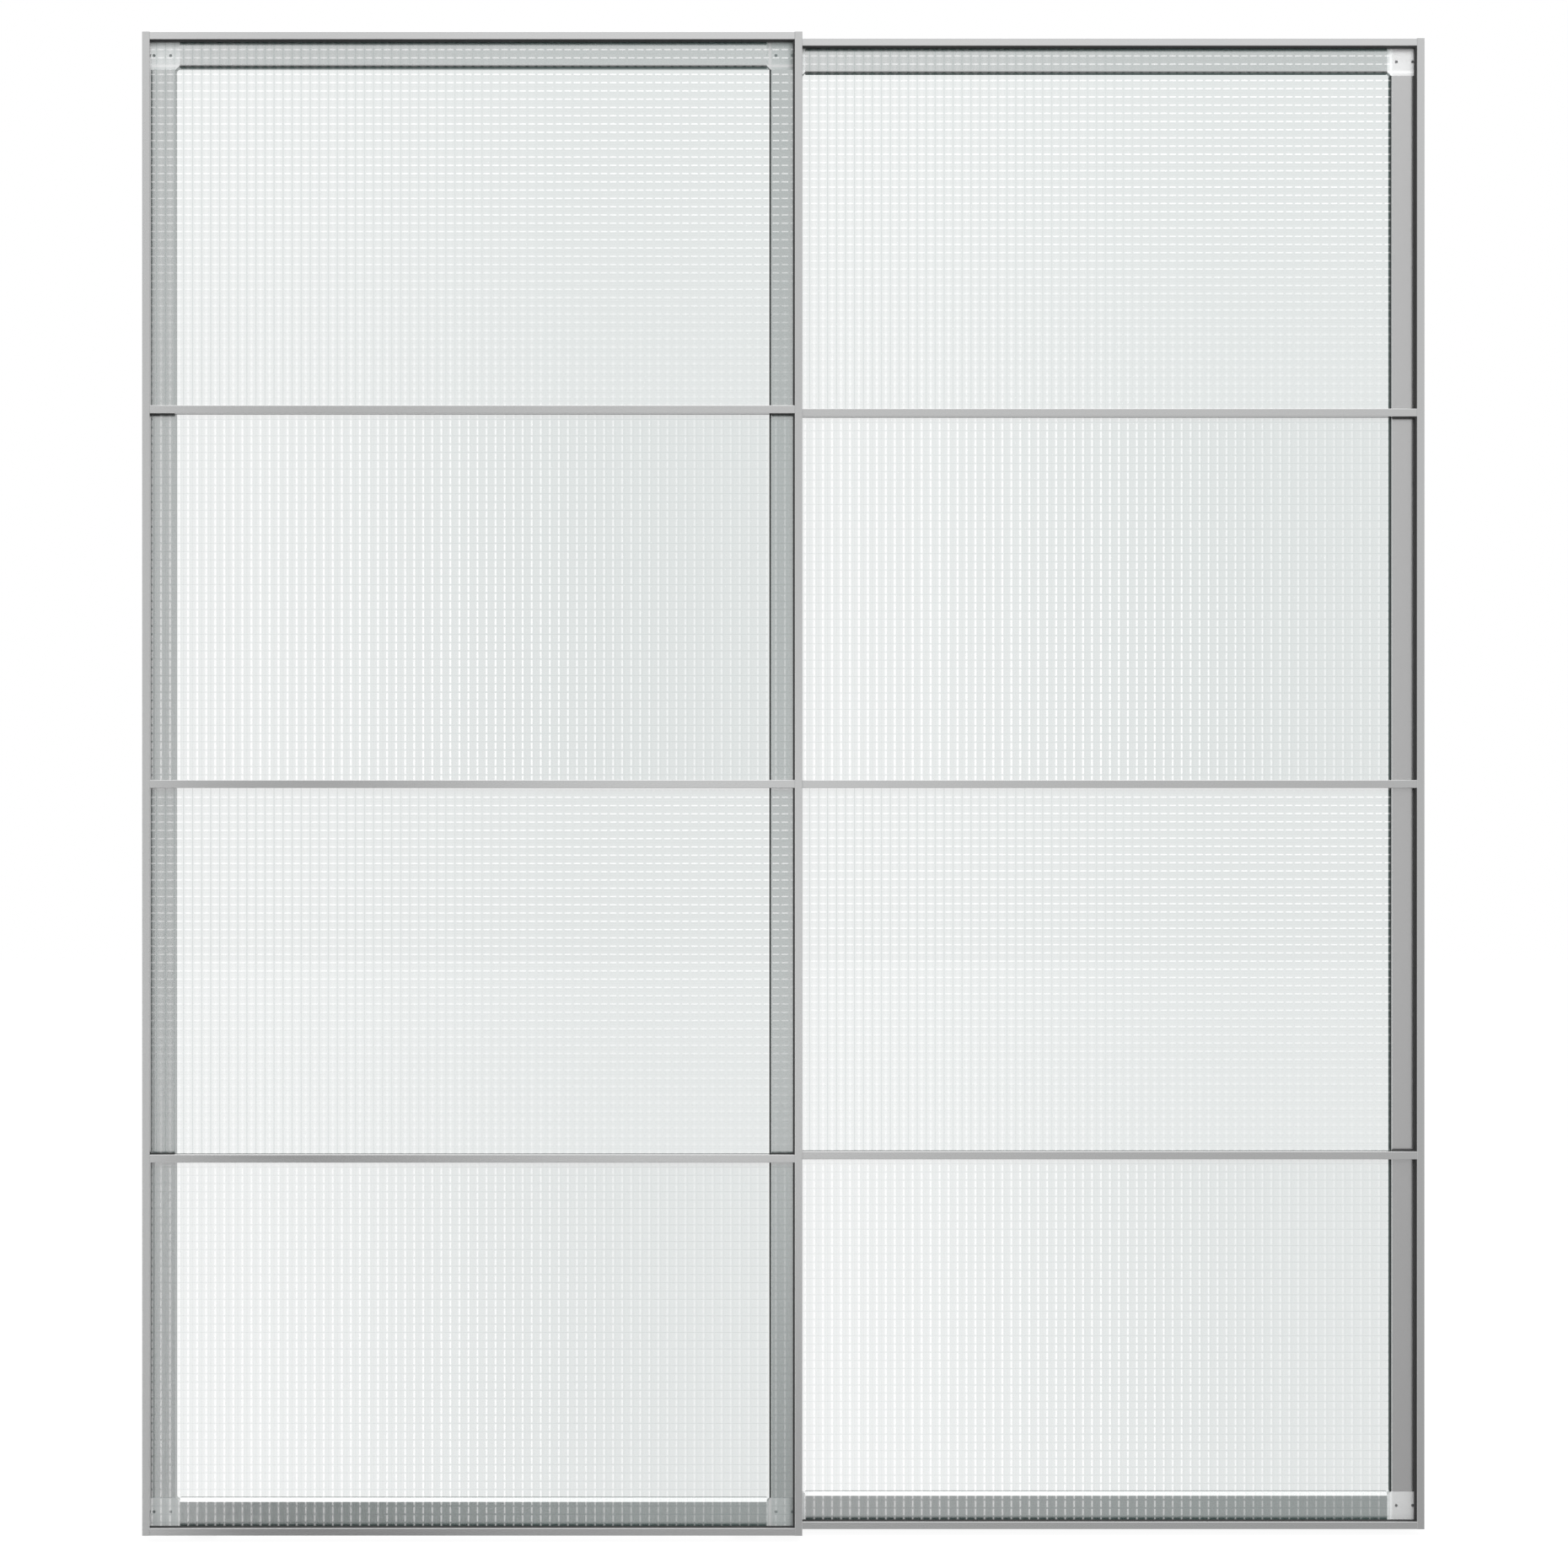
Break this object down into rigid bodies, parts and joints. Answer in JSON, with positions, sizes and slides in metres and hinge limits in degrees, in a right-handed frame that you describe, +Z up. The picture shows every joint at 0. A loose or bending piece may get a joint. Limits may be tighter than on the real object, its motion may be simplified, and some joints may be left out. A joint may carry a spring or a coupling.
{
  "type": "sliding door pair",
  "caption": "Pair of framed sliding doors with cross-reeded glass, one in front of the other, hung on rollers from a twin-lane top track and guided by a bottom track.",
  "frame": {"origin": "middle of the whole at its lowest level, the underside of the front door's guides", "axes": "+X to the right, along which the doors slide, +Y from the front to the back, +Z up"},
  "size_m": [2.021, 0.108, 2.3675],
  "materials": {
    "frame_aluminium": "satin anodised",
    "reeded_glass": "reeded on both faces",
    "bracket_plastic": "matte moulded",
    "black_rubber": "matte",
    "zinc_steel": "zinc plated",
    "roller_nylon": "matte"
  },
  "bodies": {
    "tracks": {"top_track": "frame_aluminium", "bottom_track": "frame_aluminium", "end_stops": "black_rubber"},
    "front_door": {"front_stile_left": "frame_aluminium", "front_stile_right": "frame_aluminium", "front_rail_top": "frame_aluminium", "front_rail_bottom": "frame_aluminium", "front_bar_bottom": "frame_aluminium", "front_bar_middle": "frame_aluminium", "front_bar_top": "frame_aluminium", "front_pane_1": "reeded_glass", "front_pane_2": "reeded_glass", "front_pane_3": "reeded_glass", "front_pane_4": "reeded_glass", "front_corner_bottom_left": "bracket_plastic", "front_corner_bottom_right": "bracket_plastic", "front_corner_top_left": "bracket_plastic", "front_corner_top_right": "bracket_plastic", "front_corner_screws": "zinc_steel", "front_glazing_bead": "black_rubber", "front_inner_seal": "black_rubber", "front_bar_packers": "black_rubber", "front_hanger_left": "zinc_steel", "front_hanger_right": "zinc_steel", "front_axle_left": "zinc_steel", "front_axle_right": "zinc_steel", "front_guide_left": "zinc_steel", "front_guide_right": "zinc_steel", "front_fixings": "zinc_steel"},
    "front_left_roller": {"front_roller_left": "roller_nylon"},
    "front_right_roller": {"front_roller_right": "roller_nylon"},
    "rear_door": {"rear_stile_left": "frame_aluminium", "rear_stile_right": "frame_aluminium", "rear_rail_top": "frame_aluminium", "rear_rail_bottom": "frame_aluminium", "rear_bar_bottom": "frame_aluminium", "rear_bar_middle": "frame_aluminium", "rear_bar_top": "frame_aluminium", "rear_pane_1": "reeded_glass", "rear_pane_2": "reeded_glass", "rear_pane_3": "reeded_glass", "rear_pane_4": "reeded_glass", "rear_corner_bottom_left": "bracket_plastic", "rear_corner_bottom_right": "bracket_plastic", "rear_corner_top_left": "bracket_plastic", "rear_corner_top_right": "bracket_plastic", "rear_corner_screws": "zinc_steel", "rear_glazing_bead": "black_rubber", "rear_inner_seal": "black_rubber", "rear_bar_packers": "black_rubber", "rear_hanger_left": "zinc_steel", "rear_hanger_right": "zinc_steel", "rear_axle_left": "zinc_steel", "rear_axle_right": "zinc_steel", "rear_guide_left": "zinc_steel", "rear_guide_right": "zinc_steel", "rear_fixings": "zinc_steel"},
    "rear_left_roller": {"rear_roller_left": "roller_nylon"},
    "rear_right_roller": {"rear_roller_right": "roller_nylon"}
  },
  "joints": [
    {"name": "front_door_slide", "type": "slide", "parent": "tracks", "child": "front_door", "axis": [1, 0, 0], "range_m": [0, 0.985]},
    {"name": "rear_door_slide", "type": "slide", "parent": "tracks", "child": "rear_door", "axis": [1, 0, 0], "range_m": [-0.985, 0]},
    {"name": "front_left_roller_turn", "type": "hinge", "parent": "front_door", "child": "front_left_roller", "pos_m": [-0.9205, 0.041, 2.3493], "axis": [0, 1, 0], "continuous": true},
    {"name": "front_right_roller_turn", "type": "hinge", "parent": "front_door", "child": "front_right_roller", "pos_m": [-0.0645, 0.041, 2.3493], "axis": [0, 1, 0], "continuous": true},
    {"name": "rear_left_roller_turn", "type": "hinge", "parent": "rear_door", "child": "rear_left_roller", "pos_m": [0.0645, 0.023, 2.3493], "axis": [0, 1, 0], "continuous": true},
    {"name": "rear_right_roller_turn", "type": "hinge", "parent": "rear_door", "child": "rear_right_roller", "pos_m": [0.9205, 0.023, 2.3493], "axis": [0, 1, 0], "continuous": true}
  ],
  "couplings": [
    {"joint": "front_left_roller_turn", "follows": "front_door_slide", "rad_per_m": 111.11},
    {"joint": "front_right_roller_turn", "follows": "front_door_slide", "rad_per_m": 111.11},
    {"joint": "rear_left_roller_turn", "follows": "rear_door_slide", "rad_per_m": 111.11},
    {"joint": "rear_right_roller_turn", "follows": "rear_door_slide", "rad_per_m": 111.11}
  ]
}
